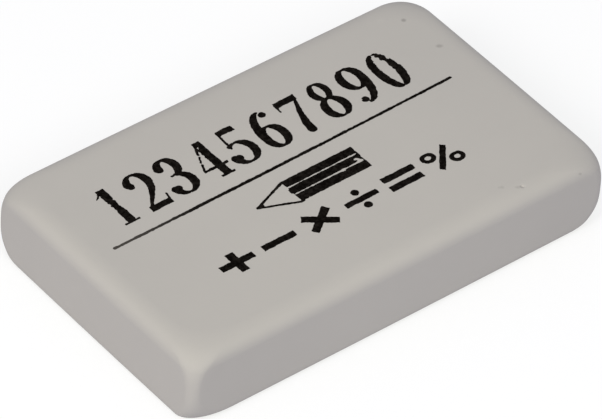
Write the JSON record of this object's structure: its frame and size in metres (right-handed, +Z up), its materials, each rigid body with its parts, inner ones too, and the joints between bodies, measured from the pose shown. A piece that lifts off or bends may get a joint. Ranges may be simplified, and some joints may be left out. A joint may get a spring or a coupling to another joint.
{
  "type": "rubber eraser",
  "caption": "Flat rectangular white eraser block with softly rounded edges, worn corners and a plain printed top.",
  "frame": {"origin": "centre of the underside, which lies flat on z = 0", "axes": "+X along the length, +Y across the width, +Z up through the printed top face"},
  "size_m": [0.04, 0.0242, 0.0067],
  "materials": {
    "eraser_block": "matte",
    "print_ink": "matte"
  },
  "bodies": {
    "root": {"eraser_block": "eraser_block"}
  },
  "joints": []
}
